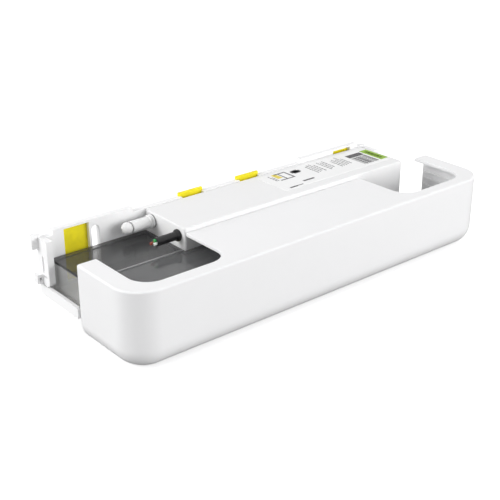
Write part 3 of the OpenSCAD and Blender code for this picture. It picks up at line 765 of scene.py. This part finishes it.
def make_label():
    """Dashes, bars and plain blocks of ink, which say nothing."""
    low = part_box("type_label")[0]
    dice = random.Random(11)
    lines = []
    for column in (44, 46.6, 49.2, 51.8, 57, 59.6, 62.2, 68, 70.6, 73.2, 75.8, 78.4):
        start = dice.uniform(11, 15)
        lines += text_lines(dice, column, 1.0, start, start + dice.uniform(12, 18), 0.5)
    lines += text_lines(dice, 7.5, 0.9, 19, 30, 0.5)
    lines += text_lines(dice, 9.2, 0.9, 19, 27, 0.5)
    ink("label_lines", PRINT_GREY, lines, low)

    first_bar, last_bar = 85.5, 100
    bars = [(first_bar, 101.5, 20.5, 26.5)]
    x = first_bar
    while x < last_bar:
        width = dice.choice((0.6, 1.0, 1.4))
        bars.append((x, x + width, 3.5, 19.5))
        x += width + dice.choice((0.45, 0.6, 0.9))
    ink("label_bars", PRINT_BLACK, bars, low)
    ink("label_strip", PRINT_GREEN, [(103, 111, 3.5, 28)], low)
    ink("label_strip_marks", PRINT_BLACK, text_lines(dice, 105.5, 2.6, 7, 25, 0.9), low)

    frame_bars = [
        (11, 25, 17.5, 19),
        (14, 25, 29.5, 31),
        (17, 18.2, 19, 29.5),
        (23.5, 25, 19, 29.5),
    ]
    ink("label_frame", PRINT_GREY, frame_bars, low)
    ink("label_tint", PRINT_YELLOW, [(11.5, 16, 22, 31)], low)
    dots = [
        (27.5, 36.5, 24, 27.5),
        (29, 35, 22.6, 28.9),
        (23, 34, 6, 8),
        (6, 13, 1.6, 3.4),
        (13, 19, 2.2, 3.2),
    ]
    ink("label_marks", PRINT_BLACK, dots, low)


# ---- Outlet and lead ----

def make_outlet():
    """Sleeve with two collars, a socket at its tip and a spigot that enters the block."""
    sleeve_low, sleeve_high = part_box("outlet_sleeve")
    middle = (sleeve_low + sleeve_high) / 2
    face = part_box("pump_housing")[0].x
    seal = 0.8 * MM
    collar = face - seal
    tip = sleeve_low.x
    collar_r = (sleeve_high.z - sleeve_low.z) / 2
    outer, socket, spigot = 4.2 * MM, 3.1 * MM, 3.05 * MM
    bore = 1.6 * MM
    sleeve = turned("outlet_sleeve_shell", [
        (tip + 0.5 * MM, outer),
        (collar - 3.4 * MM, outer),
        (collar - 3.2 * MM, collar_r - 0.2 * MM),
        (collar - 2.9 * MM, collar_r),
        (collar - 2.2 * MM, collar_r),
        (collar - 2.0 * MM, outer),
        (collar - 1.4 * MM, outer),
        (collar - 1.2 * MM, collar_r),
        (collar - 0.2 * MM, collar_r),
        (collar, collar_r - 0.2 * MM),
        (collar, spigot),
        (sleeve_high.x, spigot),
        (sleeve_high.x, bore),
        (tip + 9 * MM, bore),
        (tip + 9 * MM, socket),
        (tip + 0.4 * MM, socket),
        (tip, socket + 0.3 * MM),
        (tip, outer - 0.4 * MM),
        (tip + 0.15 * MM, outer - 0.12 * MM),
    ], (0, middle.y, middle.z))
    smooth(sleeve, 40)
    dress(sleeve, FINISHES["fitting_white"], "wall_unit", "fitting_white", "outlet_sleeve")


def make_nozzle():
    """Thin tube with a ball at its tip, bored through."""
    low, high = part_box("outlet_nozzle")
    middle = (low + high) / 2
    ball = (high.z - low.z) / 2
    tube, bore = 1.55 * MM, 0.8 * MM
    centre = low.x + ball
    outline = [(high.x, bore), (high.x, tube)]
    steps = 12
    first = math.asin(tube / ball)
    last = math.pi - math.asin(bore / ball)
    for i in range(steps + 1):
        turn = first + (last - first) * i / steps
        outline.append((centre + ball * math.cos(turn), ball * math.sin(turn)))
    nozzle = turned("outlet_nozzle_tip", outline, (0, middle.y, middle.z), 40)
    smooth(nozzle, 40)
    dress(nozzle, FINISHES["fitting_white"], "wall_unit", "fitting_white", "outlet_nozzle")


def make_grommet():
    """Rubber grommet, with a neck in the block's wall between a flange and an inner lip."""
    low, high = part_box("cable_grommet")
    middle = (low + high) / 2
    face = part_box("pump_housing")[0].x
    flange = (high.z - low.z) / 2
    neck, lip = LEAD_HOLE_R - 0.05 * MM, flange - 0.2 * MM
    inner = LEAD_R + 0.05 * MM
    grommet = turned("grommet", [
        (low.x + 0.3 * MM, flange - 0.8 * MM),
        (low.x + 0.9 * MM, flange - 0.5 * MM),
        (low.x + 1.3 * MM, flange - 0.45 * MM),
        (low.x + 1.5 * MM, flange),
        (face - 0.3 * MM, flange),
        (face, flange - 0.3 * MM),
        (face, neck),
        (face + BLOCK_WALL, neck),
        (face + BLOCK_WALL, lip),
        (high.x - 0.4 * MM, lip),
        (high.x, lip - 0.4 * MM),
        (high.x, inner),
        (low.x, inner),
        (low.x, flange - 1.1 * MM),
    ], (0, middle.y, middle.z))
    smooth(grommet, 40)
    dress(grommet, FINISHES["black_rubber"], "wall_unit", "black_rubber", "cable_grommet")


def make_lead():
    """Cut end of the mains lead: its sheath and three cores."""
    low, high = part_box("cable_sheath")
    middle = (low + high) / 2
    radius, wall = (high.z - low.z) / 2, SHEATH_WALL
    sheath = turned("lead_sheath", [
        (low.x, radius - 0.25 * MM),
        (low.x + 0.2 * MM, radius - 0.05 * MM),
        (low.x + 0.5 * MM, radius),
        (high.x - 0.3 * MM, radius),
        (high.x, radius - 0.3 * MM),
        (high.x, radius - wall),
        (low.x, radius - wall),
    ], (0, middle.y, middle.z))
    smooth(sheath, 40)
    dress(sheath, FINISHES["lead_black"], "wall_unit", "lead_black", "cable_sheath")
    for core in ("earth", "neutral", "live"):
        make_core(core)


def make_core(core):
    """One insulated core with its cut end, and the strands that show in it."""
    node = f"cable_core_{core}"
    slot = {"earth": "core_green", "neutral": "core_white", "live": "core_brown"}[core]
    low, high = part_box(node)
    middle = (low + high) / 2
    radius, copper = (high.z - low.z) / 2, COPPER_R
    insulation = turned(f"core_{core}_insulation", [
        (low.x, copper),
        (low.x, radius - 0.2 * MM),
        (low.x + 0.2 * MM, radius),
        (high.x, radius),
        (high.x, copper),
    ], (0, middle.y, middle.z), 24)
    smooth(insulation, 40)
    dress(insulation, FINISHES[slot], "wall_unit", slot, node)
    strand_r = copper / 3
    strands = []
    for i in range(STRANDS_AROUND + 1):
        turn = math.tau * i / STRANDS_AROUND
        out = 0 if i == STRANDS_AROUND else 2 * strand_r
        y, z = middle.y + out * math.cos(turn), middle.z + out * math.sin(turn)
        strands.append(rod("strand", (low.x + 0.1 * MM, y, z), (high.x, y, z), strand_r * 0.98, 12))
    strand = add(*strands)
    strand.name = f"core_{core}_strands"
    smooth(strand, 60)
    dress(strand, COPPER, "wall_unit", slot)


# ---- Wall plate and pads ----

def make_plate():
    plate = soften(copy_of("wall_plate", "plate_shell"), SHELL_EDGE_R, 2, 50)
    smooth(plate)
    dress(plate, FINISHES["white_plate"], "wall_unit", "white_plate", "wall_plate")


def make_pads():
    """Four pads of foam on the back of the plate, in two pairs."""
    low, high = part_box("adhesive_pads")
    middle = (low.x + high.x) / 2
    pads = []
    for place in (-PAD_OUTER_X, -PAD_INNER_X, PAD_INNER_X, PAD_OUTER_X):
        x = middle + place
        pad = block("pad", (x - PAD_W / 2, low.y, low.z), (x + PAD_W / 2, high.y, high.z))
        soften(pad, PAD_EDGE_R, 2)
        pads.append(pad)
    pad = add(*pads)
    pad.name = "pads"
    smooth(pad)
    dress(pad, FINISHES["pad_yellow"], "wall_unit", "pad_yellow", "adhesive_pads")


# ---- Tank ----

def make_tank():
    tank = soften(copy_of("tank", "tank_shell"), SHELL_EDGE_R, 2, 50)
    smooth(tank)
    dress(tank, FINISHES["tank_smoke"], "tank_unit", "tank_smoke", "tank")
    spout = soften(copy_of("tank_spout", "spout_tube"), SHELL_EDGE_R, 2, 50)
    smooth(spout, 40)
    dress(spout, FINISHES["tank_smoke"], "tank_unit", "tank_smoke", "tank_spout")
    lid = soften(copy_of("tank_lid", "lid_plate"), SHELL_EDGE_R, 2, 50)
    smooth(lid)
    dress(lid, FINISHES["lid_smoke"], "tank_unit", "lid_smoke", "tank_lid")


# ---- Studio ----

def make_floor(low):
    """Paper floor. The camera sees it nearly white, and it throws less light than that back."""
    bpy.ops.object.select_all(action="DESELECT")
    bpy.ops.mesh.primitive_plane_add(size=FLOOR_SIZE, location=(0, 0, low.z - FLOOR_GAP))
    floor = bpy.context.object
    floor.name = "floor"
    made = Finish("floor_paper", 0.8, Specular_IOR_Level=0.1)
    seen = made.node("ShaderNodeLightPath").outputs["Is Camera Ray"]
    cloud = made.noise(0.5, 3)
    paper = made.ramp(cloud, (0.3, FLOOR_BOUNCE), (0.7, shade(FLOOR_BOUNCE, 1.05)))
    made.colour(made.lighter(paper, FLOOR_SEEN, seen))
    made.shader.inputs["Emission Color"].default_value = (1, 1, 1, 1)
    glow = made.node("ShaderNodeMath", operation="MULTIPLY")
    made.link(seen, glow.inputs[0])
    glow.inputs[1].default_value = FLOOR_GLOW
    made.link(glow.outputs["Value"], made.shader.inputs["Emission Strength"])
    floor.data.materials.append(made.material)


def make_world():
    """Surroundings, brightest near the horizon, and plain white to the camera and in a gloss."""
    world = bpy.data.worlds.new("studio")
    bpy.context.scene.world = world
    world.use_nodes = True
    tree = world.node_tree
    light = tree.nodes["Background"]
    place = tree.nodes.new("ShaderNodeTexCoord")
    split = tree.nodes.new("ShaderNodeSeparateXYZ")
    tree.links.new(place.outputs["Generated"], split.inputs["Vector"])
    ramp = tree.nodes.new("ShaderNodeValToRGB")
    ramp.color_ramp.elements[0].position = 0.0
    ramp.color_ramp.elements[0].color = (1, 1, 1, 1)
    ramp.color_ramp.elements[1].position = 0.9
    ramp.color_ramp.elements[1].color = (0.15, 0.15, 0.155, 1)
    tree.links.new(split.outputs["Z"], ramp.inputs["Fac"])
    tree.links.new(ramp.outputs["Color"], light.inputs["Color"])
    light.inputs["Strength"].default_value = SKY
    white = tree.nodes.new("ShaderNodeBackground")
    white.inputs["Color"].default_value = (1, 1, 1, 1)
    white.inputs["Strength"].default_value = 1.0
    rays = tree.nodes.new("ShaderNodeLightPath")
    either = tree.nodes.new("ShaderNodeMath")
    either.operation = "MAXIMUM"
    tree.links.new(rays.outputs["Is Camera Ray"], either.inputs[0])
    tree.links.new(rays.outputs["Is Glossy Ray"], either.inputs[1])
    mix = tree.nodes.new("ShaderNodeMixShader")
    tree.links.new(either.outputs["Value"], mix.inputs["Fac"])
    tree.links.new(light.outputs["Background"], mix.inputs[1])
    tree.links.new(white.outputs["Background"], mix.inputs[2])
    tree.links.new(mix.outputs["Shader"], tree.nodes["World Output"].inputs["Surface"])


def make_light(name, place, size, power):
    """Soft box that faces the object."""
    data = bpy.data.lights.new(name, "AREA")
    data.shape = "RECTANGLE"
    data.size, data.size_y = size
    data.energy = power
    lamp = bpy.data.objects.new(name, data)
    bpy.context.scene.collection.objects.link(lamp)
    lamp.location = place
    lamp.visible_glossy = False
    lamp.rotation_euler = (-Vector(place)).to_track_quat("-Z", "Y").to_euler()


def make_camera():
    """Camera at the place, direction and focal length named above."""
    data = bpy.data.cameras.new("camera")
    data.sensor_width = 36
    data.lens = CAMERA_LENS
    camera = bpy.data.objects.new("camera", data)
    bpy.context.scene.collection.objects.link(camera)
    camera.location = CAMERA_PLACE
    tilt = math.radians(90 - CAMERA_ELEVATION)
    camera.rotation_euler = Euler((tilt, 0, math.radians(CAMERA_AZIMUTH)))
    bpy.context.scene.camera = camera


make_camera()
make_cover()
make_housing()
make_base()
make_label()
make_outlet()
make_nozzle()
make_grommet()
make_lead()
make_plate()
make_pads()
make_tank()
make_floor(CAD_BOX[0])
make_world()
make_light("front_right", (0.75, -1.4, 0.3), (0.9, 0.9), 17.5)
make_light("rear_left", (-1.3, 0.55, 0.6), (0.9, 0.9), 15.5)
make_light("top", (0.0, 0.1, 1.5), (1.6, 1.2), 5.6)
bpy.context.scene.view_settings.view_transform = "Standard"
